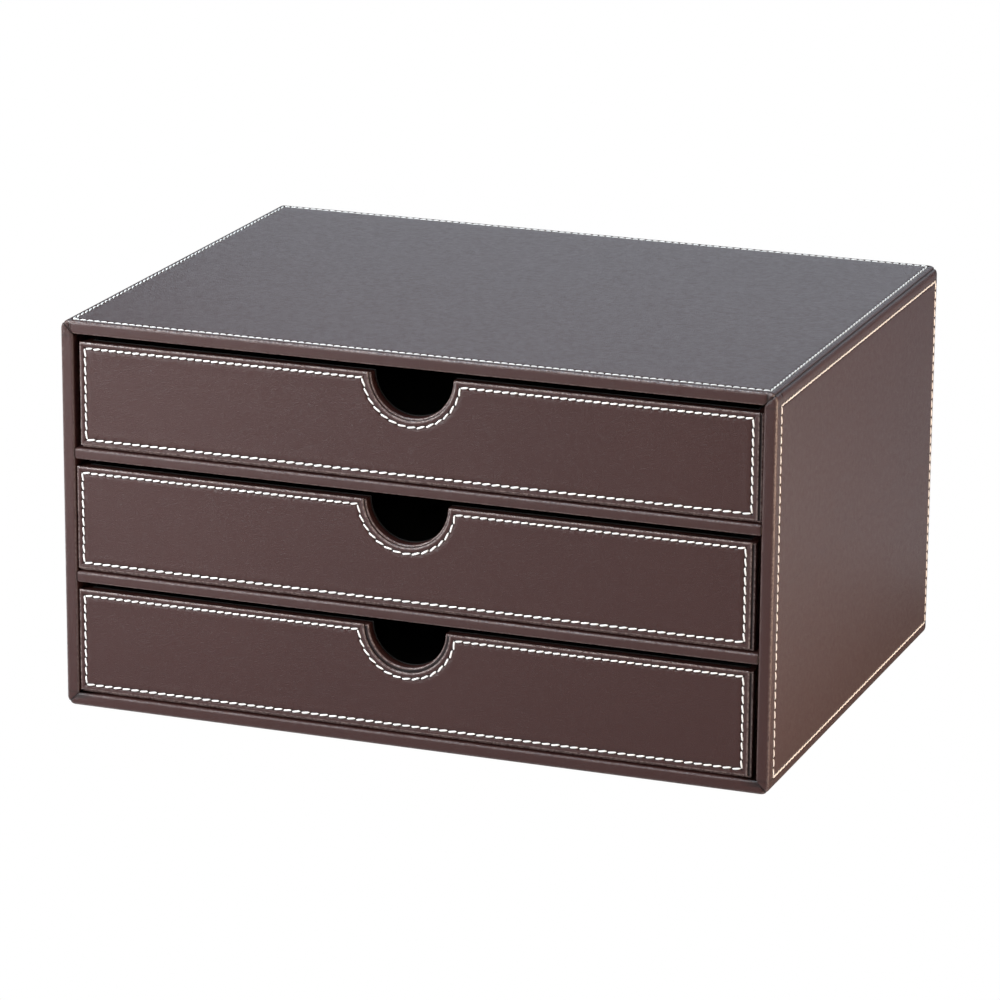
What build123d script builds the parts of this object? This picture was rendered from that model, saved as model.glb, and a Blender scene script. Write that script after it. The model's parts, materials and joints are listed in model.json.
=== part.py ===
from build123d import *
from math import atan2, degrees, sqrt
import os

# Desktop drawer organizer: a board cabinet covered in stitched leathercloth, with three drawers
# in a column. X runs to the right, Y to the back and Z up. The origin is on the desk, under the
# middle of the cabinet. All sizes are in millimetres.

# Cabinet
width = 334.0
depth = 246.0
height = 180.0
corner_radius = 4.0
front_edge_radius = 1.6
mouth_edge_radius = 1.2

# Sheet materials
leather = 0.75
panel = 4.5
shelf_board = 3.5
front_board_thickness = 4.5
box_board = 3.0
floor_board = 2.4
base_sheet = 0.75

# Turned-in edges of the leathercloth
lip_depth = 12.0
front_turn = 15.0
side_turn = 10.0
housing_depth = 2.0

# Drawers, from top to bottom
drawer_names = ["upper", "middle", "lower"]
side_play = [0.3, -1.9, -1.8]
inner_notch_radii = [19.2, 19.2, 18.2]
face_width = 317.4
face_height = 47.7
face_lift = 1.4
face_thickness = 1.0
face_recess = 1.2
face_edge_radius = 0.4
notch_radius = 20.2
box_width = 318.5
box_shift = 0.95
box_lift = 0.4
box_height = 48.4
box_edge_radius = 0.8
rear_gap = 3.0

# Stitching
stitch_share = 0.78
stitch_width = 0.9
stitch_height = 0.5
groove_width = 1.3
groove_depth = 0.35
top_run_pitch = 3.4
top_side_pitch = 4.1
side_pitch = 4.4
drawer_top_pitch = 3.85
drawer_pitch = 4.4
face_inset = 2.8

# Distance of the stitching from the four edges of each covered panel
top_insets = {"left": 4.5, "right": 4.3, "front": 3.9, "back": 2.6}
side_insets = {"front": 6.9, "back": 2.5, "bottom": 6.4, "top": 6.8}

# Values that follow from the sizes above
rim = panel + 2 * leather
shelf = shelf_board + 2 * leather
mouth_width = width - 2 * rim
mouth_height = (height - 2 * rim - 2 * shelf) / 3
front_y = -depth / 2
back_y = depth / 2
board_front = front_y + leather
board_back = back_y - leather
board_run = board_back - board_front
shelf_back = board_back - shelf_board
lip_back = board_front + lip_depth
inner_x = width / 2 - leather - panel
mouth_floors = [rim + k * (mouth_height + shelf) for k in (2, 1, 0)]
face_front = front_y + face_recess
box_front = face_front + face_thickness
box_back = shelf_back - leather - rear_gap

os.makedirs("parts", exist_ok=True)


def save(part, label):
    """Label a finished piece and write it as its own file."""
    part.label = label
    export_step(part, f"parts/{label}.step")


def facing(y):
    """The plane that faces the viewer at depth y: its own x and y are the object's X and Z."""
    return Plane.XZ.offset(-y)


def slab(x_ends, y_ends, z_ends, mode=Mode.ADD):
    """A block between two values on each axis, in the part that is being built."""
    ends = [sorted(pair) for pair in (x_ends, y_ends, z_ends)]
    with Locations([tuple((low + high) / 2 for low, high in ends)]):
        Box(*[high - low for low, high in ends], mode=mode)


def stitch_places(edges, pitch):
    """Where the stitches of a seam lie, as flat locations turned along its edges."""
    places = []
    for edge in edges:
        count = round(edge.length / pitch)
        for k in range(count):
            at = (k + 0.5) / count
            tangent = edge % at
            heading = degrees(atan2(tangent.Y, tangent.X))
            places.append(Location(edge @ at, (0, 0, heading)))
    return places


def rectangle_seam(u_low, u_high, v_low, v_high):
    """The four edges of a rectangle of stitching, in its panel's own coordinates."""
    corners = [(u_low, v_low), (u_high, v_low), (u_high, v_high), (u_low, v_high)]
    return Polyline(*corners, close=True, mode=Mode.PRIVATE).edges()


def groove(plane, u_low, u_high, v_low, v_high):
    """Cut the valley that a rectangle of stitching pulls into the part that is being built."""
    with BuildSketch(plane) as valley:
        with Locations(((u_low + u_high) / 2, (v_low + v_high) / 2)):
            Rectangle(u_high - u_low + groove_width, v_high - v_low + groove_width)
            Rectangle(u_high - u_low - groove_width, v_high - v_low - groove_width, mode=Mode.SUBTRACT)
    extrude(valley.sketch, amount=-groove_depth, mode=Mode.SUBTRACT)


def thread(plane, seams, label):
    """The visible stitches of one panel: short round-ended strands that lie in the groove. Each
    entry of seams is a pitch and the edges that are sewn at it."""
    with BuildPart() as strands:
        for pitch, edges in seams:
            with BuildSketch(plane.offset(-groove_depth)):
                with Locations(*stitch_places(edges, pitch)):
                    SlotOverall(pitch * stitch_share, stitch_width)
        extrude(amount=stitch_height)
    save(strands.part, label)


# Top and bottom boards run the full width, with their outer corners rounded
with BuildPart() as top_board:
    with BuildSketch(facing(board_back)):
        with Locations((0, height - leather - panel / 2)):
            Rectangle(width - 2 * leather, panel)
        fillet(vertices().group_by(Axis.Y)[-1], corner_radius - leather)
    extrude(amount=board_run)
save(top_board.part, "top_board")

with BuildPart() as bottom_board:
    with BuildSketch(facing(board_back)):
        with Locations((0, leather + panel / 2)):
            Rectangle(width - 2 * leather, panel)
        fillet(vertices().group_by(Axis.Y)[0], corner_radius - leather)
    extrude(amount=board_run)
save(bottom_board.part, "bottom_board")

# Each side board has two stopped housings, where the shelves are let in behind the front lips
between_boards = (rim - leather, height - rim + leather)
for side, name in ((-1, "left"), (1, "right")):
    with BuildPart() as side_board:
        slab((side * inner_x, side * (inner_x + panel)), (board_front, board_back), between_boards)
        for floor in mouth_floors[:2]:
            slab(
                (side * inner_x, side * (inner_x + housing_depth)),
                (lip_back, shelf_back),
                (floor - shelf + leather, floor - leather),
                mode=Mode.SUBTRACT,
            )
    save(side_board.part, f"{name}_side_board")

with BuildPart() as back_board:
    slab((-inner_x, inner_x), (shelf_back, board_back), between_boards)
save(back_board.part, "back_board")

for floor, name in zip(mouth_floors[:2], ("upper", "lower")):
    board_span = (floor - shelf + leather, floor - leather)
    tongue_x = inner_x + housing_depth
    with BuildPart() as shelf_piece:
        slab((-tongue_x, tongue_x), (lip_back, shelf_back), board_span)
        slab((-mouth_width / 2, mouth_width / 2), (board_front, lip_back), board_span)
    save(shelf_piece.part, f"{name}_shelf_board")

    # The cloth round the shelf's front edge
    with BuildPart() as shelf_wrap:
        slab((-mouth_width / 2, mouth_width / 2), (front_y, lip_back), (floor - shelf, floor))
        fillet(shelf_wrap.faces().sort_by(Axis.Y)[0].edges().filter_by(Axis.X), mouth_edge_radius)
        slab((-mouth_width / 2, mouth_width / 2), (board_front, lip_back), board_span, mode=Mode.SUBTRACT)
    save(shelf_wrap.part, f"{name}_shelf_wrap")

# Each compartment is lined behind the lips with a folded sheet: floor, walls, ceiling and back
for floor, name in zip(mouth_floors, drawer_names):
    with BuildPart() as lining:
        slab((-inner_x, inner_x), (lip_back, shelf_back), (floor - leather, floor + mouth_height + leather))
        slab(
            (-mouth_width / 2, mouth_width / 2),
            (lip_back, shelf_back - leather),
            (floor, floor + mouth_height),
            mode=Mode.SUBTRACT,
        )
    save(lining.part, f"{name}_compartment_lining")

# The cloth round the four cabinet boards before it is divided: the outer skin, the front rim and
# the lip that turns into the mouth
with BuildPart() as cover:
    with BuildSketch(facing(board_back)):
        with Locations((0, height / 2)):
            RectangleRounded(width, height, corner_radius)
    extrude(amount=board_run + leather)
    fillet(cover.faces().sort_by(Axis.Y)[0].edges(), front_edge_radius)
    with BuildSketch(facing(board_back)):
        with Locations((0, height / 2)):
            RectangleRounded(width - 2 * leather, height - 2 * leather, corner_radius - leather)
    extrude(amount=board_run, mode=Mode.SUBTRACT)
    slab((-inner_x, inner_x), (board_front, lip_back), between_boards)
    slab((-mouth_width / 2, mouth_width / 2), (front_y, lip_back), (rim, height - rim), mode=Mode.SUBTRACT)
    fillet(cover.faces().sort_by(Axis.Y)[0].inner_wires()[0].edges(), mouth_edge_radius)

# The top cloth meets the side cloths in seams half way round the upper corners. The joints run
# on across the front rim as mitres.
mitre = 4 * rim
with BuildPart() as top_region:
    with BuildSketch(facing(board_back)):
        with BuildLine():
            Polyline(
                (-width / 2, height),
                (width / 2, height),
                (width / 2 - mitre, height - mitre),
                (-width / 2 + mitre, height - mitre),
                close=True,
            )
        make_face()
    extrude(amount=depth)

top_plane = Plane.XY.offset(height)
top_ends = (
    -width / 2 + top_insets["left"],
    width / 2 - top_insets["right"],
    front_y + top_insets["front"],
    back_y - top_insets["back"],
)
with BuildPart() as top_leather:
    add(cover.part)
    add(top_region.part, mode=Mode.INTERSECT)
    groove(top_plane, *top_ends)
save(top_leather.part, "top_leather")
top_seam = rectangle_seam(*top_ends)
thread(top_plane, [(top_run_pitch, top_seam[0::2]), (top_side_pitch, top_seam[1::2])], "top_thread")

# Under the cabinet only a strip is turned back from the front edge
with BuildPart() as bottom_region:
    with BuildSketch(facing(front_y + front_turn)):
        with BuildLine():
            Polyline(
                (-width / 2, 0),
                (width / 2, 0),
                (width / 2 - mitre, mitre),
                (-width / 2 + mitre, mitre),
                close=True,
            )
        make_face()
    extrude(amount=front_turn)

with BuildPart() as bottom_leather:
    add(cover.part)
    add(bottom_region.part, mode=Mode.INTERSECT)
save(bottom_leather.part, "bottom_leather")

# The side cloths are turned under the cabinet behind that strip
for side, name in ((-1, "left"), (1, "right")):
    with BuildPart() as side_region:
        with BuildSketch(facing(board_back)):
            with BuildLine():
                Polyline(
                    (side * width / 2, 0),
                    (side * width / 2, height),
                    (side * (width / 2 - mitre), height - mitre),
                    (side * (width / 2 - mitre), mitre),
                    close=True,
                )
            make_face()
        extrude(amount=depth)
        slab(
            (side * width / 2, side * (width / 2 - side_turn)),
            (front_y + front_turn, board_back),
            (0, leather + corner_radius),
        )

    side_plane = Plane(origin=(side * width / 2, 0, 0), x_dir=(0, side, 0), z_dir=(side, 0, 0))
    y_ends = sorted((side * (front_y + side_insets["front"]), side * (back_y - side_insets["back"])))
    side_ends = (*y_ends, side_insets["bottom"], height - side_insets["top"])
    with BuildPart() as side_leather:
        add(cover.part)
        add(side_region.part, mode=Mode.INTERSECT)
        groove(side_plane, *side_ends)
    save(side_leather.part, f"{name}_side_leather")
    thread(side_plane, [(side_pitch, rectangle_seam(*side_ends))], f"{name}_side_thread")

with BuildPart() as back_leather:
    with BuildSketch(facing(back_y)):
        with Locations((0, height / 2)):
            RectangleRounded(width, height, corner_radius)
    extrude(amount=leather)
    fillet(back_leather.faces().sort_by(Axis.Y)[-1].edges(), 0.6 * leather)
save(back_leather.part, "back_leather")

# A thin sheet closes the underside between the turned edges, level with them
with BuildPart() as base_felt:
    half_base = width / 2 - side_turn
    slab((-half_base, half_base), (front_y + front_turn, board_back), (leather - base_sheet, leather))
save(base_felt.part, "base_felt")

# The drawers: a five-board box wrapped outside and lined inside, with a stitched face on its front
for name, floor, shift, inner_notch in zip(drawer_names, mouth_floors, side_play, inner_notch_radii):
    rim_z = floor + face_lift + face_height
    notch_middle = (shift, rim_z)
    left = shift + box_shift - box_width / 2
    right = left + box_width
    low = floor + box_lift
    high = low + box_height
    board_low = low + leather
    board_top = high - leather
    wall_left = left + leather
    wall_right = right - leather
    front_skin = box_front + leather
    rear_skin = box_back - leather
    room_left = wall_left + box_board
    room_right = wall_right - box_board
    room_front = front_skin + front_board_thickness
    room_back = rear_skin - box_board
    room_floor = board_low + floor_board

    with BuildPart() as front_board:
        slab((wall_left, wall_right), (front_skin, room_front), (board_low, board_top))
        with BuildSketch(facing(room_front)):
            with Locations(notch_middle):
                Circle(inner_notch + leather)
        extrude(amount=front_board_thickness, mode=Mode.SUBTRACT)
    save(front_board.part, f"{name}_drawer_front_board")

    with BuildPart() as left_wall:
        slab((wall_left, room_left), (room_front, rear_skin), (board_low, board_top))
    save(left_wall.part, f"{name}_drawer_left_wall")

    with BuildPart() as right_wall:
        slab((room_right, wall_right), (room_front, rear_skin), (board_low, board_top))
    save(right_wall.part, f"{name}_drawer_right_wall")

    with BuildPart() as back_wall:
        slab((room_left, room_right), (room_back, rear_skin), (board_low, board_top))
    save(back_wall.part, f"{name}_drawer_back_wall")

    with BuildPart() as floor_piece:
        slab((room_left, room_right), (room_front, room_back), (board_low, room_floor))
    save(floor_piece.part, f"{name}_drawer_floor")

    # The wrap goes round the outside, over the top edges and through the finger notch
    with BuildPart() as wrap:
        slab((left, right), (box_front, box_back), (low, high))
        fillet(wrap.faces().sort_by(Axis.Y)[0].edges(), box_edge_radius)
        slab((wall_left, wall_right), (front_skin, rear_skin), (board_low, board_top), mode=Mode.SUBTRACT)
        slab((room_left, room_right), (room_front, room_back), (board_top, high), mode=Mode.SUBTRACT)
        with BuildSketch(facing(room_front)):
            with Locations(notch_middle):
                Circle(inner_notch + leather)
            with Locations((shift, high - notch_radius)):
                Rectangle(3 * notch_radius, 2 * notch_radius, mode=Mode.INTERSECT)
        extrude(amount=front_board_thickness)
        with BuildSketch(facing(room_front)):
            with Locations(notch_middle):
                Circle(inner_notch)
        extrude(amount=front_board_thickness + leather, mode=Mode.SUBTRACT)
    save(wrap.part, f"{name}_drawer_wrap")

    with BuildPart() as lining:
        slab((room_left, room_right), (room_front, room_back), (room_floor, high))
        slab(
            (room_left + leather, room_right - leather),
            (room_front + leather, room_back - leather),
            (room_floor + leather, high),
            mode=Mode.SUBTRACT,
        )
        with BuildSketch(facing(room_front + leather)):
            with Locations(notch_middle):
                Circle(inner_notch)
        extrude(amount=leather, mode=Mode.SUBTRACT)
    save(lining.part, f"{name}_drawer_lining")

    # The seam follows the four edges of the face and dips round the notch
    seam_radius = notch_radius + face_inset
    arc_half = sqrt(seam_radius**2 - face_inset**2)
    seam_half = face_width / 2 - face_inset
    seam_top = rim_z - face_inset
    seam_low = rim_z - face_height + face_inset
    with BuildLine() as seam:
        Polyline(
            (shift - arc_half, seam_top),
            (shift - seam_half, seam_top),
            (shift - seam_half, seam_low),
            (shift + seam_half, seam_low),
            (shift + seam_half, seam_top),
            (shift + arc_half, seam_top),
        )
        ThreePointArc(
            (shift + arc_half, seam_top), (shift, rim_z - seam_radius), (shift - arc_half, seam_top)
        )

    face_plane = facing(face_front)
    with BuildPart() as front_face:
        with BuildSketch(facing(box_front)):
            with Locations((shift, rim_z - face_height / 2)):
                Rectangle(face_width, face_height)
            with Locations(notch_middle):
                Circle(notch_radius, mode=Mode.SUBTRACT)
        extrude(amount=face_thickness)
        fillet(front_face.faces().sort_by(Axis.Y)[0].edges(), face_edge_radius)
        with BuildSketch(face_plane):
            with Locations((shift, (seam_low + seam_top) / 2)):
                Rectangle(2 * seam_half + groove_width, seam_top - seam_low + groove_width)
                Rectangle(2 * seam_half - groove_width, seam_top - seam_low - groove_width, mode=Mode.SUBTRACT)
            with Locations((shift, seam_top)):
                Rectangle(2 * arc_half, 2 * groove_width, mode=Mode.SUBTRACT)
        extrude(amount=-groove_depth, mode=Mode.SUBTRACT)
        with BuildSketch(face_plane):
            with Locations(notch_middle):
                Circle(seam_radius + groove_width / 2)
                Circle(seam_radius - groove_width / 2, mode=Mode.SUBTRACT)
            with Locations((shift, seam_top + groove_width / 2 - seam_radius)):
                Rectangle(4 * seam_radius, 2 * seam_radius, mode=Mode.INTERSECT)
        extrude(amount=-groove_depth, mode=Mode.SUBTRACT)
    save(front_face.part, f"{name}_drawer_front_face")
    top_runs = seam.edges().filter_by(GeomType.LINE).group_by(Axis.Y)[-1]
    others = [edge for edge in seam.edges() if edge not in top_runs]
    thread(face_plane, [(drawer_top_pitch, top_runs), (drawer_pitch, others)], f"{name}_drawer_thread")
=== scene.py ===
import json
import math

import bpy
import numpy as np
from mathutils import Matrix, Vector


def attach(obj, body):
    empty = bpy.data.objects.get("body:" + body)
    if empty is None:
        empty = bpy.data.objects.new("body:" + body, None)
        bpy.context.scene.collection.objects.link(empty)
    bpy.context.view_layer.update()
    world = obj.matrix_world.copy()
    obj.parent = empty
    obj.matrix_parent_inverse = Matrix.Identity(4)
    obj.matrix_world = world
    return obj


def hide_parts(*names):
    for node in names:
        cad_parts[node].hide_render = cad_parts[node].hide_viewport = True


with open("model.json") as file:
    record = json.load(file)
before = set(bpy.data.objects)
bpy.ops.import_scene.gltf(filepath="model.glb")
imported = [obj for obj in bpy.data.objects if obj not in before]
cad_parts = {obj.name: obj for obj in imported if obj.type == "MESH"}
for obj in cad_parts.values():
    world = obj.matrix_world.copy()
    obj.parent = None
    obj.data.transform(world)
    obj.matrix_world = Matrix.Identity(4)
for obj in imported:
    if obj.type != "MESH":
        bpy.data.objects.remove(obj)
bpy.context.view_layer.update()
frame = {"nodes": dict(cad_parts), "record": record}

# Shape sizes are in millimetres, in the frame's own axes, and turned into metres by MM
MM = 0.001
WIDTH, DEPTH, HEIGHT = 334.0, 246.0, 180.0
FRONT, BACK = -DEPTH / 2, DEPTH / 2
CORNER, FRONT_EDGE, MOUTH_EDGE, BACK_EDGE = 4.0, 1.6, 1.2, 1.2
RIM, SHELF = 6.0, 5.0
LEATHER = 0.75
LIP_BACK = FRONT + LEATHER + 12.0
CLOTH_BACK = BACK - LEATHER
FRONT_TURN, SIDE_TURN = 15.0, 10.0
MOUTH_WIDTH = WIDTH - 2 * RIM
MOUTH_HEIGHT = (HEIGHT - 2 * RIM - 2 * SHELF) / 3
TOP_INSETS = {"left": 4.5, "right": 4.3, "front": 3.9, "back": 2.6}
SIDE_INSETS = {"front": 6.9, "back": 2.5, "bottom": 6.4, "top": 6.8}
TOP_RUN_PITCH, TOP_SIDE_PITCH, SIDE_PITCH = 3.4, 4.1, 4.4
DRAWER_TOP_PITCH, DRAWER_PITCH = 3.85, 4.4

FACE_WIDTH, FACE_HEIGHT, FACE_LIFT = 317.4, 47.7, 1.4
FACE_FRONT, FACE_THICK, FACE_INSET = FRONT + 1.2, 1.0, 2.8
NOTCH = 20.2
BOX_WIDTH, BOX_SHIFT, BOX_LIFT, BOX_HEIGHT = 318.5, 0.95, 0.4, 48.4
BOX_FRONT = FACE_FRONT + FACE_THICK
BOX_BACK = CLOTH_BACK - 3.5 - LEATHER - 3.0
ROOM_FRONT = BOX_FRONT + LEATHER + 4.5
WALL = 2 * LEATHER + 3.0
FACE_EDGE, BOX_EDGE = 0.55, 0.7

# A row of stitches pulls the cloth in this deep, over this half width, beside a slight swell
VALLEY_DEPTH, VALLEY_WIDTH = 0.42, 0.8
FACE_VALLEY_DEPTH, FACE_VALLEY_WIDTH = 0.40, 0.62
SWELL, SWELL_PLACE, SWELL_WIDTH = 0.10, 2.4, 1.3
# The seams between the cabinet's panels are this deep, over this half width
SEAM_DEPTH, SEAM_WIDTH = 0.45, 0.42

# How far the stitches are sunk below the cloth, and how far they lean off their run
STITCH_SUNK, STITCH_SLANT, STITCH_UNEVENNESS = 0.20, math.radians(9), 0.035
# Distance given to the leather where no stitching is near
NO_STITCHES = 99.0

DRAWERS = {
    "upper": {"level": 2, "shift": 0.3, "inner_notch": 19.2},
    "middle": {"level": 1, "shift": -1.9, "inner_notch": 19.2},
    "lower": {"level": 0, "shift": -1.8, "inner_notch": 18.2},
}


# Meshes


def piece(name, sheets, material, body, nodes):
    """One mesh from several grids of points. It rides on a body and stands for its CAD nodes."""
    verts, faces, seams, crossing = [], [], [], []
    for sheet in sheets:
        points = np.asarray(sheet["points"], float)
        rows, columns = points.shape[:2]
        base = len(verts)
        verts.extend((points.reshape(-1, 3) * MM).tolist())
        blank = np.full((rows, columns, 3), (0.0, NO_STITCHES, 0.0))
        seams.extend(np.asarray(sheet.get("seam", blank)).reshape(-1, 3).tolist())
        crossing.extend(np.asarray(sheet.get("crossing", blank)).reshape(-1, 3).tolist())
        made = []
        for i in range(rows - 1):
            for j in range(columns - 1):
                at = base + i * columns + j
                made.append((at, at + 1, at + columns + 1, at + columns))
        if sheet.get("cap"):
            made.append(tuple(base + (rows - 1) * columns + j for j in range(columns - 1)))
        if sheet.get("flip"):
            made = [tuple(reversed(face)) for face in made]
        faces.extend(made)
    mesh = bpy.data.meshes.new(name)
    mesh.from_pydata(verts, [], faces)
    mesh.attributes.new("seam", "FLOAT_VECTOR", "POINT").data.foreach_set("vector", np.ravel(seams))
    mesh.attributes.new("crossing", "FLOAT_VECTOR", "POINT").data.foreach_set("vector", np.ravel(crossing))
    mesh.polygons.foreach_set("use_smooth", [True] * len(mesh.polygons))
    mesh.materials.append(material)
    made = bpy.data.objects.new(name, mesh)
    bpy.context.scene.collection.objects.link(made)
    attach(made, body)
    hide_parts(*nodes)
    return made


def quarter(steps):
    """Angles of a quarter turn."""
    return np.linspace(0, math.pi / 2, steps + 1)


def ends_first(length, step, tight=(0.0, 0.25, 0.6, 1.1, 2.0, 3.5)):
    """Places along a run: close together near both ends and even between them, as shares of it."""
    near = [t / length for t in tight if t < length / 2.2]
    inner = np.linspace(near[-1], 1 - near[-1], max(3, round((length - 2 * tight[-1]) / step) + 1))
    return np.unique(np.round(np.concatenate([near, inner, [1 - t for t in near]]), 9))


def around(values, low, high, step):
    """Places from low to high: even steps, with closer ones across each value."""
    near = np.array(
        [-2.6, -2.0, -1.5, -1.1, -0.8, -0.5, -0.25, 0, 0.25, 0.5, 0.8, 1.1, 1.5, 2.0, 2.6, 3.6, 5.0]
    )
    places = [np.linspace(low, high, round((high - low) / step) + 1)]
    for value in values:
        places.append(value + near)
        places.append(value - near)
    places = np.concatenate(places)
    places = np.unique(np.round(places[(places >= low) & (places <= high)], 6))
    keep = [0]
    for k in range(1, len(places)):
        if places[k] - places[keep[-1]] > 0.12:
            keep.append(k)
    return places[keep]


def bell(distance, width):
    """1 at no distance, falling to nothing over a few widths."""
    return math.exp(-((distance / width) ** 2))


def valley(distance, depth=VALLEY_DEPTH, width=VALLEY_WIDTH):
    """How far the cloth is pulled in beside a row of stitches, less its slight swell further off."""
    swell = SWELL * np.exp(-(((np.abs(distance) - SWELL_PLACE) / SWELL_WIDTH) ** 2))
    return depth * np.exp(-((distance / width) ** 2)) - swell


def stitch_phase(place, start, end, pitch):
    """Distance along a run of stitches, counted in stitches."""
    return (place - start) / (end - start) * round(abs(end - start) / pitch)


# The cabinet's cloth: four panels that meet in seams half way round the corners


SIDES = {
    "top": {"along": (1, 0), "out": (0, 1), "run": WIDTH / 2, "reach": HEIGHT / 2},
    "right": {"along": (0, -1), "out": (1, 0), "run": HEIGHT / 2, "reach": WIDTH / 2},
    "bottom": {"along": (-1, 0), "out": (0, -1), "run": WIDTH / 2, "reach": HEIGHT / 2},
    "left": {"along": (0, 1), "out": (-1, 0), "run": HEIGHT / 2, "reach": WIDTH / 2},
}
ARC_STEPS = np.radians([45, 43.5, 41.5, 39, 35, 30, 24, 17, 9])


def cloth_panel(side, profile, run_ends=None, depth_ends=None):
    """A panel's points: each row is one place of the profile (inset, y), each column one place on
    the run from seam to seam. run_ends and depth_ends are where its stitches lie."""
    sewn = run_ends is not None
    run_pitch, depth_pitch = SIDE_PITCH, SIDE_PITCH
    if side == "top":
        run_pitch, depth_pitch = TOP_RUN_PITCH, TOP_SIDE_PITCH
    frame_of = SIDES[side]
    along, out = np.array(frame_of["along"], float), np.array(frame_of["out"], float)
    half = frame_of["run"] - CORNER
    straight = around(run_ends if sewn else (), -half, half, 9.0)
    points, seam, crossing = [], [], []
    for inset, y in profile:
        radius = max(CORNER - inset, 0.02)
        end = frame_of["run"] - inset - radius
        start_arc = [(-end - radius * math.sin(a), radius * (math.cos(a) - 1), a) for a in ARC_STEPS]
        line = [(s * end / half, 0.0, 0.0) for s in straight]
        end_arc = [(-s, drop, a) for s, drop, a in reversed(start_arc)]
        row, row_seam, row_crossing = [], [], []
        columns = start_arc + line + end_arc
        reach = end + radius * math.sin(math.pi / 4)
        for s, drop, angle in columns:
            to_seam = (radius * (math.pi / 4 - angle)) if angle else reach - abs(s)
            if inset > 3.9:
                to_seam = (reach - abs(s)) * 0.7
            # The fold sinks the cloth into the seam, and the shader gives it painted shade
            fold = bell(to_seam, SEAM_WIDTH)
            sink = SEAM_DEPTH * fold
            pull = 0.0
            if sewn and y > FRONT + FRONT_EDGE - 0.01 and y < BACK - BACK_EDGE + 0.01:
                inside_depth = depth_ends[0] - 0.4 < y < depth_ends[1] + 0.4
                inside_run = run_ends[0] - 0.4 < s < run_ends[1] + 0.4
                if inside_run:
                    pull = max(pull, max(valley(y - d) for d in depth_ends), key=abs)
                if inside_depth:
                    pull = max(pull, max(valley(s - d) for d in run_ends), key=abs)
            direction = along * (math.sin(angle) * np.sign(s)) + out * math.cos(angle)
            centre_line = along * s + out * (frame_of["reach"] - inset + drop)
            if inset > 0.3 and y < FRONT + 1.0:
                place = centre_line
                y_here = y + sink
            elif inset > 3.9:
                place = centre_line + direction * sink
                y_here = y
            else:
                place = centre_line - direction * (sink + pull)
                y_here = y
            row.append((place[0], y_here, place[1] + HEIGHT / 2))
            # How much painted highlight and gloss the folded edges get, less on the sides than on the top
            shine = glint(inset, y) * (1.0 if side == "top" else 0.6)
            if sewn:
                on_run = stitch_phase(s, *run_ends, run_pitch)
                in_depth = stitch_phase(y, *depth_ends, depth_pitch)
                row_seam.append((on_run, nearest(y, depth_ends), fold))
                row_crossing.append((in_depth, nearest(s, run_ends), shine))
            else:
                row_seam.append((0.0, NO_STITCHES, fold))
                row_crossing.append((0.0, NO_STITCHES, shine))
        points.append(row)
        seam.append(row_seam)
        crossing.append(row_crossing)
    return {"points": points, "seam": seam, "crossing": crossing}


def glint(inset, y):
    """How much the cloth shines at a place of the cabinet's profile: most on its folded edges."""
    if y > LIP_BACK - 6.5 and inset > 1.0:
        return 0.0
    front = bell(inset - 0.45, 0.6) * bell(y - FRONT - 0.45, 0.6)
    mouth = bell(inset - RIM + 0.35, 0.45) * bell(y - FRONT - 0.35, 0.6)
    return max(front, 0.6 * mouth)


def nearest(value, lines):
    """Signed distance to the nearer of two lines."""
    return min((value - line for line in lines), key=abs)


def front_profile():
    """Inset and y from the back of the lip round the mouth edge and the front edge."""
    rows = [(RIM, LIP_BACK), (RIM, LIP_BACK - 6)]
    rows += [
        (RIM - MOUTH_EDGE + MOUTH_EDGE * math.cos(a), FRONT + MOUTH_EDGE - MOUTH_EDGE * math.sin(a))
        for a in quarter(6)
    ]
    rows += [(3.9, FRONT), (3.0, FRONT), (2.2, FRONT)]
    rows += [
        (FRONT_EDGE * (1 - math.sin(a)), FRONT + FRONT_EDGE * (1 - math.cos(a))) for a in quarter(7)
    ]
    return rows


def back_profile():
    """Inset and y round the back edge."""
    return [
        (BACK_EDGE * (1 - math.cos(a)), BACK - BACK_EDGE + BACK_EDGE * math.sin(a)) for a in quarter(5)[1:]
    ]


def outer_rows(lines):
    """Inset and y along the outside, from the front edge to the back edge."""
    places = around(lines, FRONT + FRONT_EDGE, BACK - BACK_EDGE, 9.0)
    return [(0.0, y) for y in places[1:]]


def panel_lines(side):
    """Where the stitches of a panel lie: along its run, and in depth."""
    if side == "top":
        run = (-WIDTH / 2 + TOP_INSETS["left"], WIDTH / 2 - TOP_INSETS["right"])
        depth = (FRONT + TOP_INSETS["front"], BACK - TOP_INSETS["back"])
        return run, depth
    upper = HEIGHT / 2 - SIDE_INSETS["top"]
    lower = HEIGHT / 2 - SIDE_INSETS["bottom"]
    depth = (FRONT + SIDE_INSETS["front"], BACK - SIDE_INSETS["back"])
    return ((-upper, lower) if side == "right" else (-lower, upper)), depth


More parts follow.
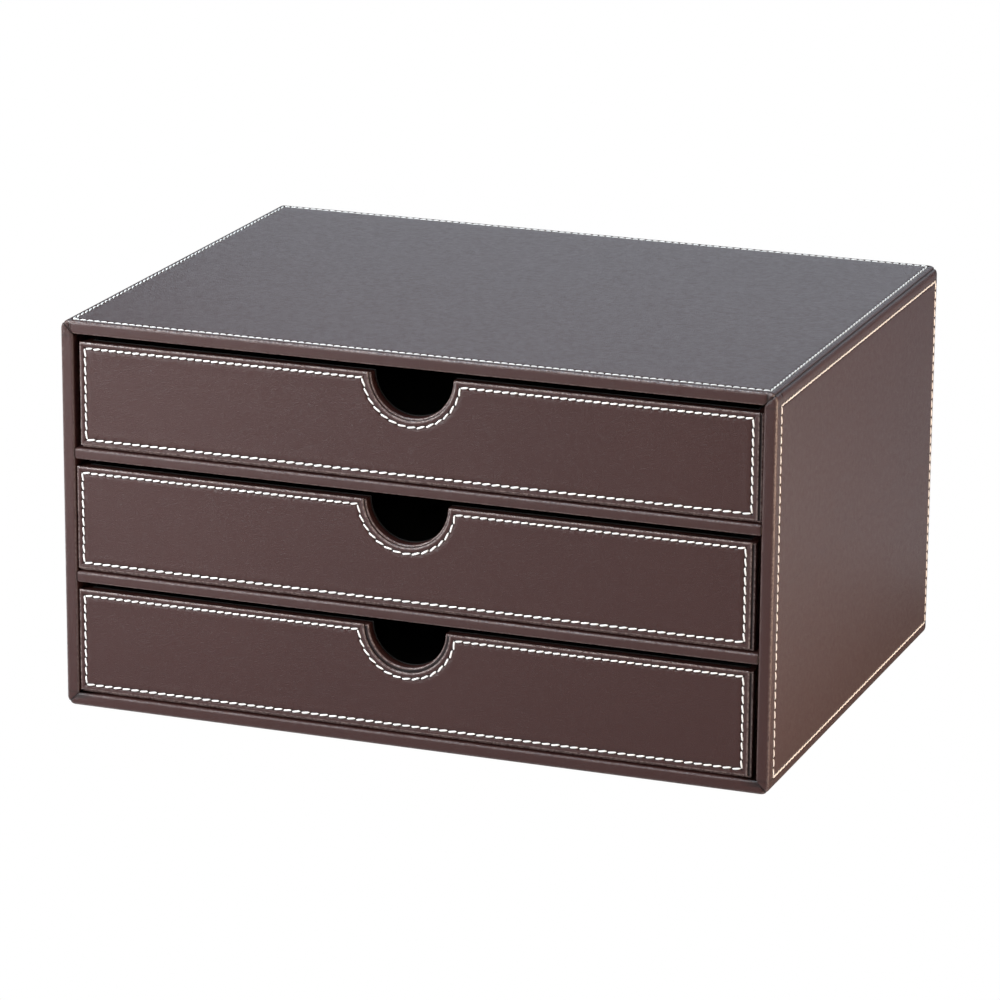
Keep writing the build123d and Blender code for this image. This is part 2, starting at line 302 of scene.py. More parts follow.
def cabinet_cloth(leather):
    """The top, side and bottom panels, the back panel and the shelf edges."""
    for side, body_nodes in (
        ("top", ["top_leather"]),
        ("right", ["right_side_leather"]),
        ("left", ["left_side_leather"]),
    ):
        run_ends, depth_ends = panel_lines(side)
        profile = front_profile() + outer_rows(depth_ends) + back_profile()
        sheets = [cloth_panel(side, profile, run_ends, depth_ends)]
        if side != "top":
            sheets.append(turned_under(1 if side == "right" else -1))
        piece(f"{side}_cloth", sheets, leather, "cabinet", body_nodes)

    profile = front_profile() + [(0.0, y) for y in np.linspace(FRONT + 2.5, FRONT + FRONT_TURN, 5)]
    bottom = cloth_panel("bottom", profile)
    piece("bottom_cloth", [bottom], leather, "cabinet", ["bottom_leather"])

    outline = []
    radius = CORNER - BACK_EDGE
    for x_sign, z_sign, turn in ((1, 1, 0), (-1, 1, 1), (-1, -1, 2), (1, -1, 3)):
        centre = (x_sign * (WIDTH / 2 - CORNER), HEIGHT / 2 + z_sign * (HEIGHT / 2 - CORNER))
        for a in quarter(6):
            angle = a + turn * math.pi / 2
            outline.append((centre[0] + radius * math.cos(angle), centre[1] + radius * math.sin(angle)))
    outline.append(outline[0])
    rows = [[(x, BACK + offset, z) for x, z in outline] for offset in (-0.7, 0.0)]
    sheet = {"points": rows, "cap": True, "flip": True}
    piece("back_cloth", [sheet], leather, "cabinet", ["back_leather"])

    for name, level in (("upper", 2), ("lower", 1)):
        floor = RIM + level * (MOUTH_HEIGHT + SHELF)
        section = [(LIP_BACK, floor), (LIP_BACK - 6, floor)]
        under = floor - SHELF
        for a in quarter(6):
            section.append((FRONT + MOUTH_EDGE * (1 - math.sin(a)), floor - MOUTH_EDGE * (1 - math.cos(a))))
        for a in quarter(6):
            section.append((FRONT + MOUTH_EDGE * (1 - math.cos(a)), under + MOUTH_EDGE * (1 - math.sin(a))))
        section += [(LIP_BACK - 6, under), (LIP_BACK, under)]
        half = MOUTH_WIDTH / 2
        xs = [-half, -half + 0.15, -half + 0.4, -half + 0.9, -half + 2]
        xs = xs + list(np.linspace(-half + 10, half - 10, 25)) + [-x for x in reversed(xs)]
        points, seam, crossing = [], [], []
        middle = floor - SHELF / 2
        for y, z in section:
            row, row_seam = [], []
            shine = 0.6 * bell(y - FRONT - 0.35, 0.6) * bell(abs(z - middle) - 2.15, 0.45)
            for x in xs:
                # The fold sinks the cloth at the shelf's ends, and the shader gives it painted shade
                fold = bell(half - abs(x), 0.35)
                row.append((x, y + 0.4 * fold, z + (middle - z) * 0.1 * fold))
                row_seam.append((0.0, NO_STITCHES, fold))
            points.append(row)
            seam.append(row_seam)
            crossing.append([(0.0, NO_STITCHES, shine)] * len(xs))
        sheet = {"points": points, "seam": seam, "crossing": crossing, "flip": True}
        piece(f"{name}_shelf_cloth", [sheet], leather, "cabinet", [f"{name}_shelf_wrap"])


def turned_under(side):
    """The edge of a side panel that goes on under the cabinet."""
    rows = []
    ys = np.linspace(FRONT + FRONT_TURN, CLOTH_BACK, 12)
    for a in np.radians([45, 36, 27, 18, 9, 0]):
        x = WIDTH / 2 - CORNER + CORNER * math.sin(a)
        rows.append([(side * x, y, CORNER * (1 - math.cos(a))) for y in ys])
    rows.append([(side * (WIDTH / 2 - SIDE_TURN), y, 0.0) for y in ys])
    return {"points": rows, "flip": side > 0}


# The drawers


def notched_loop(left, right, low, high, centre, radius, inset):
    """An outline with a round notch in its top edge, moved inwards, and where its stitches lie."""
    r = radius + inset
    top = high - inset
    half = math.sqrt(r * r - (centre[1] - top) ** 2)
    corners = [
        (centre[0] + half, top),
        (right - inset, top),
        (right - inset, low + inset),
        (left + inset, low + inset),
        (left + inset, top),
        (centre[0] - half, top),
    ]
    points, phases, counted = [], [], 0
    full_half = math.sqrt((radius + FACE_INSET) ** 2 - FACE_INSET**2)
    for k in range(5):
        (x0, z0), (x1, z1) = corners[k], corners[k + 1]
        seam_length = [
            right - FACE_INSET - centre[0] - full_half,
            high - low - 2 * FACE_INSET,
            right - left - 2 * FACE_INSET,
            high - low - 2 * FACE_INSET,
            centre[0] - full_half - left - FACE_INSET,
        ][k]
        count = round(seam_length / (DRAWER_TOP_PITCH if k in (0, 4) else DRAWER_PITCH))
        for share in ends_first(seam_length, 8.0)[:-1]:
            points.append((x0 + (x1 - x0) * share, z0 + (z1 - z0) * share))
            phases.append(counted + share * count)
        counted += count
    start = math.atan2(top - centre[1], -half)
    start = start if start < 0 else start - 2 * math.pi
    end = math.atan2(top - centre[1], half)
    count = round((radius + FACE_INSET) * (end - start) / DRAWER_PITCH)
    for share in ends_first(math.pi * radius, 1.0):
        angle = start + (end - start) * share
        points.append((centre[0] + r * math.cos(angle), centre[1] + r * math.sin(angle)))
        phases.append(counted + share * count)
    return points, phases


def rounded(radius, face):
    """Inset and place of a rounded edge in front of a face, or behind it for a negative radius."""
    return [(abs(radius) * (1 - math.cos(a)), face + radius * (1 - math.sin(a))) for a in quarter(5)]


def ring(outline, profile, cap=False, seam_inset=None, creases=(), shine=None):
    """Loops of an outline at each (inset, y) of a profile. Those in creases lie in a fold that gets
    painted shade, and shine gives those that catch the light, with how much, for painted highlight and
    gloss."""
    points, seam, crossing = [], [], []
    for k, (inset, y) in enumerate(profile):
        loop, phases = notched_loop(*outline, inset)
        points.append([(x, y, z) for x, z in loop])
        across = NO_STITCHES if seam_inset is None else inset - seam_inset
        seam.append([(phase, across, 1.0 if k in creases else 0.0) for phase in phases])
        crossing.append([(0.0, NO_STITCHES, (shine or {}).get(k, 0.0))] * len(phases))
    return {"points": points, "seam": seam, "crossing": crossing, "cap": cap, "flip": True}


def drawer_cloth(name, spec, leather):
    """A drawer's stitched face and the cloth wrapped round its box."""
    body = f"{name}_drawer"
    floor = RIM + spec["level"] * (MOUTH_HEIGHT + SHELF)
    shift = spec["shift"]
    rim_z = floor + FACE_LIFT + FACE_HEIGHT
    centre = (shift, rim_z)
    outline = (shift - FACE_WIDTH / 2, shift + FACE_WIDTH / 2, rim_z - FACE_HEIGHT, rim_z, centre, NOTCH)
    profile = [(0.0, BOX_FRONT + 0.1), (0.0, BOX_FRONT - 0.25)]
    profile += rounded(FACE_EDGE, FACE_FRONT)
    insets = [0.8, 1.1, 1.4, 1.7, 1.95, 2.2, 2.4, 2.6, 2.8, 3.0]
    insets += [3.2, 3.4, 3.65, 3.9, 4.3, 4.8, 5.5, 6.5, 8.0, 10.0]
    for inset in insets:
        pull = float(valley(inset - FACE_INSET, FACE_VALLEY_DEPTH, FACE_VALLEY_WIDTH))
        profile.append((inset, FACE_FRONT + pull))
    shine = {2: 0.3, 3: 0.6, 4: 1.0, 5: 1.0, 6: 1.0, 7: 0.8, 8: 0.3}
    # Rows 0 and 1, where the face meets the box, get painted shade as a dark crease
    face = ring(outline, profile, cap=True, seam_inset=FACE_INSET, creases=(0, 1), shine=shine)
    piece(f"{name}_face", [face], leather, body, [f"{body}_front_face"])

    left = shift + BOX_SHIFT - BOX_WIDTH / 2
    right = left + BOX_WIDTH
    low = floor + BOX_LIFT
    high = low + BOX_HEIGHT
    outline = (left, right, low, high, centre, spec["inner_notch"])
    profile = [(0.7, ROOM_FRONT), (0.2, ROOM_FRONT - 0.2), (0.0, ROOM_FRONT - 0.7)]
    profile += rounded(BOX_EDGE, BOX_FRONT)
    profile += [(1.0, BOX_FRONT), (3.5, BOX_FRONT)]
    shine = {4: 0.4, 5: 0.8, 6: 1.0, 7: 0.8, 8: 0.3}
    # Rows 9 and 10, behind the face's edge, get painted shade as a dark crease
    front = ring(outline, profile, creases=(9, 10), shine=shine)

    section = [(0.0, low), (0.0, low + 12), (0.0, high - BOX_EDGE)]
    section += rounded(-BOX_EDGE, high)
    section += [(WALL - LEATHER - 0.3, high), (WALL - LEATHER, high - 0.2)]
    walls = []
    for inset, z in section:
        x0, x1, y1 = left + inset, right - inset, BOX_BACK - inset
        shares = ends_first(200.0, 25.0)
        row = [(x0, ROOM_FRONT + (y1 - ROOM_FRONT) * t, z) for t in shares]
        row += [(x0 + (x1 - x0) * t, y1, z) for t in shares[1:]]
        row += [(x1, y1 + (ROOM_FRONT - y1) * t, z) for t in shares[1:]]
        walls.append(row)
    under = [[(left, y, low), (right, y, low)] for y in (BOX_BACK, ROOM_FRONT - 0.7)]
    sheets = [front, {"points": walls, "flip": True}, {"points": under}]
    piece(f"{name}_wrap", sheets, leather, body, [f"{body}_wrap"])


# Stitches


def stitch_mesh(material):
    """One stitch: a round strand that dips into the cloth at both ends. It lies along X and is
    made for a pitch of one millimetre, so its length is scaled with the pitch."""
    length, radius = 0.90 * MM, 0.42 * MM
    verts, faces = [], []
    rings, sides = 9, 8
    for i in range(rings):
        t = i / (rings - 1) * 2 - 1
        r = radius * max(0.45, (1 - abs(t) ** 6) ** 0.5)
        rise = 0.08 * MM * (1 - t * t) - 0.22 * MM * abs(t) ** 4
        for k in range(sides):
            a = 2 * math.pi * k / sides
            verts.append((t * length / 2, r * math.cos(a), rise + 0.82 * r * math.sin(a)))
    for i in range(rings - 1):
        for k in range(sides):
            a, b = i * sides + k, i * sides + (k + 1) % sides
            faces.append((a, b, b + sides, a + sides))
    faces.append(tuple(reversed(range(sides))))
    faces.append(tuple(range((rings - 1) * sides, rings * sides)))
    mesh = bpy.data.meshes.new("stitch")
    mesh.from_pydata(verts, [], faces)
    mesh.polygons.foreach_set("use_smooth", [True] * len(mesh.polygons))
    mesh.materials.append(material)
    return mesh


def stitch_tree():
    """Nodes that put a slightly uneven stitch on each point, turned along the seam."""
    tree = bpy.data.node_groups.new("stitch_line", "GeometryNodeTree")
    tree.interface.new_socket("Geometry", in_out="INPUT", socket_type="NodeSocketGeometry")
    tree.interface.new_socket("Stitch", in_out="INPUT", socket_type="NodeSocketObject")
    tree.interface.new_socket("Thread", in_out="INPUT", socket_type="NodeSocketMaterial")
    tree.interface.new_socket("Slant", in_out="INPUT", socket_type="NodeSocketFloat")
    tree.interface.new_socket("Unevenness", in_out="INPUT", socket_type="NodeSocketFloat")
    tree.interface.new_socket("Seed", in_out="INPUT", socket_type="NodeSocketInt")
    tree.interface.new_socket("Geometry", in_out="OUTPUT", socket_type="NodeSocketGeometry")
    nodes, link = tree.nodes, tree.links.new
    given = nodes.new("NodeGroupInput")
    result = nodes.new("NodeGroupOutput")

    directions = []
    for name in ("along", "out"):
        attribute = nodes.new("GeometryNodeInputNamedAttribute")
        attribute.data_type = "FLOAT_VECTOR"
        attribute.inputs["Name"].default_value = name
        directions.append(attribute.outputs["Attribute"])
    turn = nodes.new("FunctionNodeAlignRotationToVector")
    turn.axis = "X"
    link(directions[0], turn.inputs["Vector"])
    upright = nodes.new("FunctionNodeAlignRotationToVector")
    upright.axis = "Z"
    upright.pivot_axis = "X"
    link(turn.outputs["Rotation"], upright.inputs["Rotation"])
    link(directions[1], upright.inputs["Vector"])

    spread = nodes.new("ShaderNodeMath")
    spread.operation = "MULTIPLY"
    spread.inputs[1].default_value = -1.0
    link(given.outputs["Unevenness"], spread.inputs[0])
    chance = nodes.new("FunctionNodeRandomValue")
    link(spread.outputs[0], chance.inputs[2])
    link(given.outputs["Unevenness"], chance.inputs[3])
    link(given.outputs["Seed"], chance.inputs["Seed"])
    angle = nodes.new("ShaderNodeMath")
    angle.operation = "ADD"
    link(given.outputs["Slant"], angle.inputs[0])
    link(chance.outputs[1], angle.inputs[1])
    euler = nodes.new("ShaderNodeCombineXYZ")
    link(angle.outputs[0], euler.inputs["Z"])
    slanted = nodes.new("FunctionNodeRotateRotation")
    slanted.rotation_space = "LOCAL"
    to_rotation = nodes.new("FunctionNodeEulerToRotation")
    link(euler.outputs[0], to_rotation.inputs[0])
    link(upright.outputs["Rotation"], slanted.inputs["Rotation"])
    link(to_rotation.outputs[0], slanted.inputs["Rotate By"])

    stretch = nodes.new("ShaderNodeMath")
    stretch.operation = "ADD"
    stretch.inputs[1].default_value = 1.0
    link(chance.outputs[1], stretch.inputs[0])
    pitch = nodes.new("GeometryNodeInputNamedAttribute")
    pitch.data_type = "FLOAT"
    pitch.inputs["Name"].default_value = "pitch"
    longer = nodes.new("ShaderNodeMath")
    longer.operation = "MULTIPLY"
    link(pitch.outputs["Attribute"], longer.inputs[0])
    link(stretch.outputs[0], longer.inputs[1])
    size = nodes.new("ShaderNodeCombineXYZ")
    link(longer.outputs[0], size.inputs["X"])
    link(stretch.outputs[0], size.inputs["Y"])
    link(stretch.outputs[0], size.inputs["Z"])
    source = nodes.new("GeometryNodeObjectInfo")
    link(given.outputs["Stitch"], source.inputs["Object"])
    placed = nodes.new("GeometryNodeInstanceOnPoints")
    link(given.outputs["Geometry"], placed.inputs["Points"])
    link(source.outputs["Geometry"], placed.inputs["Instance"])
    link(slanted.outputs["Rotation"], placed.inputs["Rotation"])
    link(size.outputs[0], placed.inputs["Scale"])
    real = nodes.new("GeometryNodeRealizeInstances")
    link(placed.outputs["Instances"], real.inputs["Geometry"])
    coloured = nodes.new("GeometryNodeSetMaterial")
    link(real.outputs["Geometry"], coloured.inputs["Geometry"])
    link(given.outputs["Thread"], coloured.inputs["Material"])
    link(coloured.outputs["Geometry"], result.inputs["Geometry"])
    return tree


def run_of_stitches(start, end, out, pitch):
    """Places, headings, outward directions and pitches of the stitches on a straight run."""
    start, end = Vector(start), Vector(end)
    count = round((end - start).length / pitch)
    heading = (end - start).normalized()
    apart = (end - start).length / count
    return [
        (start + (end - start) * ((k + 0.5) / count), heading, Vector(out), apart) for k in range(count)
    ]


def sew(name, stitches, tree, source, thread, seed, body, node):
    """Turns a list of stitches into one plain mesh that stands for a CAD thread."""
    points = bpy.data.meshes.new(f"{name}_places")
    points.from_pydata([stitch[0] * MM for stitch in stitches], [], [])
    along = points.attributes.new("along", "FLOAT_VECTOR", "POINT")
    along.data.foreach_set("vector", np.ravel([tuple(stitch[1]) for stitch in stitches]))
    out = points.attributes.new("out", "FLOAT_VECTOR", "POINT")
    out.data.foreach_set("vector", np.ravel([tuple(stitch[2]) for stitch in stitches]))
    apart = points.attributes.new("pitch", "FLOAT", "POINT")
    apart.data.foreach_set("value", [stitch[3] for stitch in stitches])
    holder = bpy.data.objects.new(f"{name}_places", points)
    bpy.context.scene.collection.objects.link(holder)
    modifier = holder.modifiers.new("stitches", "NODES")
    modifier.node_group = tree
    values = {
        "Stitch": source,
        "Thread": thread,
        "Slant": STITCH_SLANT,
        "Unevenness": STITCH_UNEVENNESS,
        "Seed": seed,
    }
    for item in tree.interface.items_tree:
        if item.in_out == "INPUT" and item.name in values:
            modifier[item.identifier] = values[item.name]
    bpy.context.view_layer.update()
    graph = bpy.context.evaluated_depsgraph_get()
    mesh = bpy.data.meshes.new_from_object(holder.evaluated_get(graph), depsgraph=graph)
    holder.modifiers.clear()
    bpy.data.objects.remove(holder)
    mesh.name = name
    made = bpy.data.objects.new(name, mesh)
    bpy.context.scene.collection.objects.link(made)
    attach(made, body)
    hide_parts(node)


def sewing(thread):
    """All visible thread: the top, both sides and the three drawer faces."""
    tree = stitch_tree()
    source = bpy.data.objects.new("stitch", stitch_mesh(thread))
    bpy.context.scene.collection.objects.link(source)

    def rectangle(corners, out, pitches):
        made = []
        for k in range(4):
            made += run_of_stitches(corners[k], corners[(k + 1) % 4], out, pitches[k % 2])
        return made

    (x0, x1), (y0, y1) = panel_lines("top")
    z = HEIGHT - STITCH_SUNK
    corners = [(x0, y0, z), (x1, y0, z), (x1, y1, z), (x0, y1, z)]
    stitches = rectangle(corners, (0, 0, 1), (TOP_RUN_PITCH, TOP_SIDE_PITCH))
    sew("top_stitches", stitches, tree, source, thread, 3, "cabinet", "top_thread")

    z0, z1 = SIDE_INSETS["bottom"], HEIGHT - SIDE_INSETS["top"]
    y0, y1 = FRONT + SIDE_INSETS["front"], BACK - SIDE_INSETS["back"]
    for side, name in ((1, "right"), (-1, "left")):
        x = side * (WIDTH / 2 - STITCH_SUNK)
        corners = [(x, y0, z0), (x, y1, z0), (x, y1, z1), (x, y0, z1)]
        stitches = rectangle(corners, (side, 0, 0), (SIDE_PITCH, SIDE_PITCH))
        sew(f"{name}_stitches", stitches, tree, source, thread, 5, "cabinet", f"{name}_side_thread")

    for seed, (name, spec) in enumerate(DRAWERS.items()):
        floor = RIM + spec["level"] * (MOUTH_HEIGHT + SHELF)
        rim_z = floor + FACE_LIFT + FACE_HEIGHT
        shift = spec["shift"]
        y = FACE_FRONT + STITCH_SUNK
        radius = NOTCH + FACE_INSET
        half = math.sqrt(radius**2 - FACE_INSET**2)
        left, right = shift - FACE_WIDTH / 2 + FACE_INSET, shift + FACE_WIDTH / 2 - FACE_INSET
        top, low = rim_z - FACE_INSET, rim_z - FACE_HEIGHT + FACE_INSET
        path = [(shift + half, top), (right, top), (right, low)]
        path += [(left, low), (left, top), (shift - half, top)]
        stitches = []
        for (xa, za), (xb, zb) in zip(path, path[1:]):
            pitch = DRAWER_TOP_PITCH if za == zb == top else DRAWER_PITCH
            stitches += run_of_stitches((xa, y, za), (xb, y, zb), (0, -1, 0), pitch)
        start = math.atan2(-FACE_INSET, -half)
        end = math.atan2(-FACE_INSET, half)
        count = round(radius * (end - start) / DRAWER_PITCH)
        for k in range(count):
            angle = start + (end - start) * (k + 0.5) / count
            place = Vector((shift + radius * math.cos(angle), y, rim_z + radius * math.sin(angle)))
            heading = Vector((-math.sin(angle), 0, math.cos(angle)))
            stitches.append((place, heading, Vector((0, -1, 0)), radius * (end - start) / count))
        body = f"{name}_drawer"
        sew(f"{name}_stitches", stitches, tree, source, thread, 11 + seed, body, f"{body}_thread")
    bpy.data.objects.remove(source)


# Materials


class Shader:
    """A small helper that adds nodes to one material and links them."""

    def __init__(self, name):
        self.material = bpy.data.materials.new(name)
        self.material.use_nodes = True
        self.tree = self.material.node_tree
        self.tree.nodes.clear()

    def add(self, kind, inputs=None, **settings):
        node = self.tree.nodes.new(kind)
        for key, value in settings.items():
            setattr(node, key, value)
        for key, value in (inputs or {}).items():
            if isinstance(value, bpy.types.NodeSocket):
                self.tree.links.new(value, node.inputs[key])
            else:
                node.inputs[key].default_value = value
        return node

    def math(self, operation, *values):
        node = self.add("ShaderNodeMath", dict(enumerate(values)), operation=operation)
        return node.outputs[0]

    def ramp(self, value, low, high, to_low=0.0, to_high=1.0):
        inputs = {"Value": value, "From Min": low, "From Max": high, "To Min": to_low, "To Max": to_high}
        return self.add("ShaderNodeMapRange", inputs).outputs["Result"]

    def surface(self, shader):
        self.add("ShaderNodeOutputMaterial", {"Surface": shader})
        return self.material


def pucker(shader, name):
    """From the values stored under a name: the needle holes, the cloth drawn in round them, the
    line of painted shade under the stitches, and the third value as it is, which marks folds for
    painted shade or shining edges for a painted highlight."""
    stored = shader.add("ShaderNodeAttribute", attribute_name=name).outputs["Vector"]
    parts = shader.add("ShaderNodeSeparateXYZ", {0: stored}).outputs
    turned = shader.math("MULTIPLY", parts["X"], 2 * math.pi)
    wave = shader.math("MULTIPLY_ADD", shader.math("COSINE", turned), 0.5, 0.5)
    beside = shader.math("MULTIPLY", parts["Y"], parts["Y"])
    near_hole = shader.math("EXPONENT", shader.math("MULTIPLY", beside, -2.2))
    near_row = shader.math("EXPONENT", shader.math("MULTIPLY", beside, -0.45))
    hole = shader.math("MULTIPLY", shader.math("POWER", wave, 6.0), near_hole)
    soft = shader.math("MULTIPLY", wave, near_row)
    line = shader.math("EXPONENT", shader.math("MULTIPLY", beside, -3.0))
    return hole, soft, line, parts["Z"]


def leather_material():
    """Dark brown leathercloth with a fine pressed grain, half matt, glossier where its edges are
    folded and paler there by a painted highlight, with painted shade in its stitches and folds."""
    s = Shader("brown_leather")
    where = s.add("ShaderNodeTexCoord").outputs["Object"]
    cell_inputs = {"Vector": where, "Scale": 1500.0, "Randomness": 0.9}
    cells = s.add("ShaderNodeTexVoronoi", cell_inputs, feature="DISTANCE_TO_EDGE")
    grain = s.ramp(cells.outputs["Distance"], 0.0, 0.22)
    coarse = s.add("ShaderNodeTexNoise", {"Vector": where, "Scale": 420.0, "Detail": 3.0}).outputs["Fac"]
    broad = s.add("ShaderNodeTexNoise", {"Vector": where, "Scale": 14.0, "Detail": 2.0}).outputs["Fac"]
    hole_a, soft_a, line_a, fold = pucker(s, "seam")
    hole_b, soft_b, line_b, edge = pucker(s, "crossing")
    hole = s.math("ADD", hole_a, hole_b)
    soft = s.math("ADD", soft_a, soft_b)
    line = s.math("ADD", line_a, line_b)
    stretched = s.add("ShaderNodeMapping", {"Vector": where, "Scale": (0.3, 1.0, 1.0)})
    crease_inputs = {"Vector": stretched.outputs[0], "Scale": 1700.0, "Detail": 2.0}
    creases = s.add("ShaderNodeTexNoise", crease_inputs).outputs["Fac"]
    relief = s.math("MULTIPLY_ADD", grain, 0.045, s.math("MULTIPLY", coarse, 0.012))
    relief = s.math("MULTIPLY_ADD", creases, 0.07, relief)
    relief = s.math("MULTIPLY_ADD", soft, -0.16, relief)
    relief = s.math("MULTIPLY_ADD", hole, -0.30, relief)
    bump = s.add("ShaderNodeBump", {"Height": relief, "Strength": 1.0, "Distance": MM})
    # Painted shade: near black in the needle holes, along the line under the stitches, and in folds and
    # creases
    shade = s.math("MAXIMUM", s.math("MULTIPLY", line, 0.35), s.math("MULTIPLY", hole, 0.85))
    shade = s.math("MINIMUM", s.math("MAXIMUM", shade, s.math("MULTIPLY", fold, 0.8)), 0.95)
    # Painted highlight: on shining folded edges the colour goes paler in specks, as dotted glints
    specks = s.add("ShaderNodeTexNoise", {"Vector": where, "Scale": 900.0, "Detail": 1.0}).outputs["Fac"]
    painted_glint = s.math("MULTIPLY", edge, s.ramp(specks, 0.38, 0.60, 0.15, 1.0))
    base = mix_colour(s, (0.036, 0.0125, 0.0108, 1), (0.041, 0.0148, 0.0125, 1), broad)
    base = mix_colour(s, base, (0.26, 0.19, 0.17, 1), s.math("MULTIPLY", painted_glint, 0.55))
    colour = mix_colour(s, base, (0.002, 0.001, 0.001, 1), shade)
    rough = s.math("MULTIPLY_ADD", edge, -0.11, s.ramp(coarse, 0.3, 0.7, 0.31, 0.39))
    gloss = s.math("MULTIPLY_ADD", edge, 0.45, 0.26)
    shader = s.add(
        "ShaderNodeBsdfPrincipled",
        {"Base Color": colour, "Roughness": rough, "Specular IOR Level": gloss, "Normal": bump.outputs[0]},
    )
    return s.surface(shader.outputs[0])


def mix_colour(shader, first, second, share):
    """A colour between two colours."""
    node = shader.add("ShaderNodeMix", data_type="RGBA")
    for socket, value in ((node.inputs[0], share), (node.inputs[6], first), (node.inputs[7], second)):
        if isinstance(value, bpy.types.NodeSocket):
            shader.tree.links.new(value, socket)
        else:
            socket.default_value = value
    return node.outputs[2]


def matt(shader, colour, rough, bump):
    """The finished material of a colour, a roughness and a bump."""
    inputs = {"Base Color": colour, "Roughness": rough, "Normal": bump.outputs[0]}
    return shader.surface(shader.add("ShaderNodeBsdfPrincipled", inputs).outputs[0])


def thread_material():
    """Off-white sewing thread with its twist."""
    s = Shader("thread")
    where = s.add("ShaderNodeTexCoord").outputs["Object"]
    twist = s.add("ShaderNodeTexNoise", {"Vector": where, "Scale": 2600.0, "Detail": 1.0}).outputs["Fac"]
    bump = s.add("ShaderNodeBump", {"Height": twist, "Strength": 0.6, "Distance": 0.0002})
    colour = mix_colour(s, (0.74, 0.70, 0.65, 1), (0.92, 0.90, 0.87, 1), twist)
    return matt(s, colour, 0.6, bump)


def plain_material(name, dark, light, scale, rough):
    """A matt material with a fine mottle between two colours."""
    s = Shader(name)
    where = s.add("ShaderNodeTexCoord").outputs["Object"]
    mottle = s.add("ShaderNodeTexNoise", {"Vector": where, "Scale": scale, "Detail": 4.0}).outputs["Fac"]
    bump = s.add("ShaderNodeBump", {"Height": mottle, "Strength": 0.4, "Distance": 0.0003})
    colour = mix_colour(s, dark, light, mottle)
    return matt(s, colour, rough, bump)


# Camera, light and floor


def camera():
    """The camera that took the photo, as found from the object's edges."""
    turn, tilt, roll = math.radians(20.5758), math.radians(16.3819), math.radians(0.40498)
    back = Vector((math.sin(turn) * math.cos(tilt), -math.cos(turn) * math.cos(tilt), math.sin(tilt)))
    right = (-back).cross(Vector((0, 0, 1))).normalized()
    up = right.cross(-back)
    rolled_right = right * math.cos(roll) + up * math.sin(roll)
    rolled_up = up * math.cos(roll) - right * math.sin(roll)
    data = bpy.data.cameras.new("camera")
    data.sensor_width = 36.0
    data.lens = 36.0 * 4978.116 / 1000
    data.clip_start, data.clip_end = 0.05, 50.0
    made = bpy.data.objects.new("camera", data)
    matrix = Matrix((rolled_right, rolled_up, back)).transposed().to_4x4()
    matrix.translation = Vector((769.600, -2060.332, 727.916)) * MM
    made.matrix_world = matrix
    bpy.context.scene.collection.objects.link(made)
    bpy.context.scene.camera = made


def area_light(name, place, target, size, power, colour=(1, 1, 1)):
    """A soft rectangular light that points at a target. Places and sizes are in metres."""
    data = bpy.data.lights.new(name, "AREA")
    data.shape = "RECTANGLE"
    data.size, data.size_y = size
    data.energy = power
    data.color = colour
    made = bpy.data.objects.new(name, data)
    made.location = place
    made.rotation_euler = (Vector(target) - Vector(place)).to_track_quat("-Z", "Y").to_euler()
    bpy.context.scene.collection.objects.link(made)


def white_for_camera(shader_tree, other):
    """Pure white where the camera looks straight at it, and another shader for all other light."""
    nodes, link = shader_tree.nodes, shader_tree.links.new
    path = nodes.new("ShaderNodeLightPath")
    white = nodes.new("ShaderNodeEmission")
    white.inputs["Strength"].default_value = 1.0
    mix = nodes.new("ShaderNodeMixShader")
    link(path.outputs["Is Camera Ray"], mix.inputs[0])
    link(other, mix.inputs[1])
    link(white.outputs[0], mix.inputs[2])
    return mix.outputs[0]


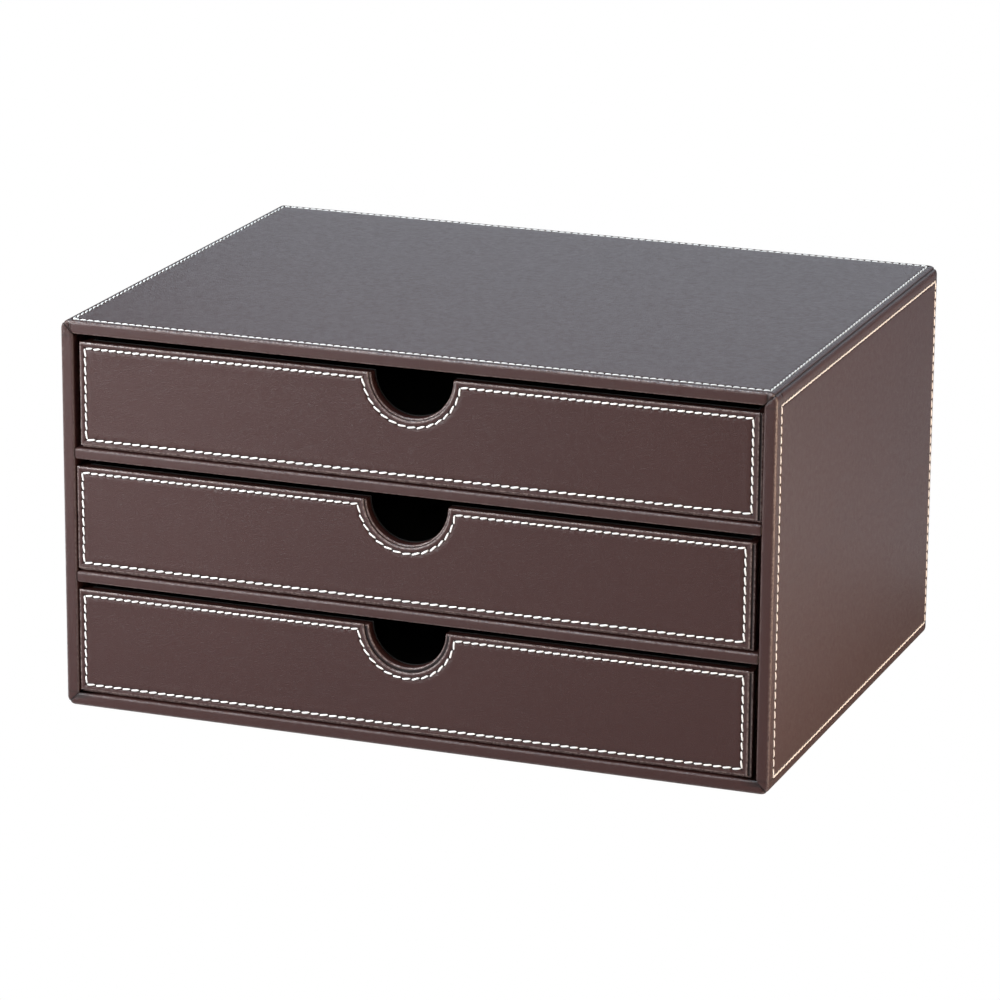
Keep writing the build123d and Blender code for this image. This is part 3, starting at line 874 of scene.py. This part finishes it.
def studio():
    """A white room: pale floor, surroundings that look white to the camera, and soft lights."""
    world = bpy.data.worlds.new("studio")
    world.use_nodes = True
    tree = world.node_tree
    tree.nodes.clear()
    path = tree.nodes.new("ShaderNodeLightPath")
    seen = tree.nodes.new("ShaderNodeMath")
    seen.operation = "MAXIMUM"
    tree.links.new(path.outputs["Is Camera Ray"], seen.inputs[0])
    tree.links.new(path.outputs["Is Transmission Ray"], seen.inputs[1])
    dim = tree.nodes.new("ShaderNodeBackground")
    dim.inputs["Color"].default_value = (0.93, 0.96, 1.0, 1)
    dim.inputs["Strength"].default_value = 0.10
    white = tree.nodes.new("ShaderNodeBackground")
    white.inputs["Strength"].default_value = 1.0
    mix = tree.nodes.new("ShaderNodeMixShader")
    tree.links.new(seen.outputs[0], mix.inputs[0])
    tree.links.new(dim.outputs[0], mix.inputs[1])
    tree.links.new(white.outputs[0], mix.inputs[2])
    out = tree.nodes.new("ShaderNodeOutputWorld")
    tree.links.new(mix.outputs[0], out.inputs["Surface"])
    bpy.context.scene.world = world

    s = Shader("floor")
    pale = s.add("ShaderNodeBsdfDiffuse", {"Color": (0.80, 0.79, 0.78, 1)})
    material = s.surface(white_for_camera(s.tree, pale.outputs[0]))
    mesh = bpy.data.meshes.new("floor")
    far, level = 30.0, -0.0002
    corners = [(-far, -far, level), (far, -far, level), (far, far, level), (-far, far, level)]
    mesh.from_pydata(corners, [], [(0, 1, 2, 3)])
    mesh.materials.append(material)
    floor = bpy.data.objects.new("floor", mesh)
    bpy.context.scene.collection.objects.link(floor)

    area_light("overhead", (-0.25, -0.35, 1.2), (0, 0, 0.1), (0.5, 0.35), 11.0, (0.72, 0.88, 1.0))
    area_light("behind", (0.08, 1.15, 0.55), (0, 0, 0.15), (1.9, 0.6), 5.3, (0.80, 0.89, 1.0))
    area_light("right_high", (1.1, -0.45, 0.9), (0.1, 0, 0.08), (0.22, 0.22), 3.2, (1.0, 0.96, 0.88))
    area_light("right_low", (0.62, -0.06, 0.07), (0.17, -0.06, 0.03), (0.5, 0.12), 3.1, (1.0, 0.74, 0.55))
    area_light("left_near", (-0.60, -0.72, 0.37), (-0.16, -0.12, 0.01), (0.3, 0.4), 9.8, (0.93, 0.97, 1.0))
    area_light("front_high", (0.25, -1.3, 0.75), (0, -0.12, 0.02), (0.6, 0.4), 4.0, (1.0, 0.91, 0.88))


leather = leather_material()
thread = thread_material()
looks = {
    "brown_leather": leather,
    "thread": thread,
    "board": plain_material("board", (0.27, 0.19, 0.12, 1), (0.42, 0.31, 0.20, 1), 260.0, 0.8),
    "black_lining": plain_material(
        "black_lining", (0.004, 0.004, 0.004, 1), (0.011, 0.010, 0.010, 1), 1500.0, 0.95
    ),
    "black_felt": plain_material(
        "black_felt", (0.008, 0.008, 0.008, 1), (0.022, 0.021, 0.021, 1), 900.0, 0.98
    ),
}
for row in frame["record"]["subparts"]:
    node = frame["nodes"][row["node"]]
    node.data.materials.clear()
    node.data.materials.append(looks[row["material_slot"]])

cabinet_cloth(leather)
for name, spec in DRAWERS.items():
    drawer_cloth(name, spec, leather)
sewing(thread)
camera()
studio()

bpy.context.scene.view_settings.view_transform = "Standard"
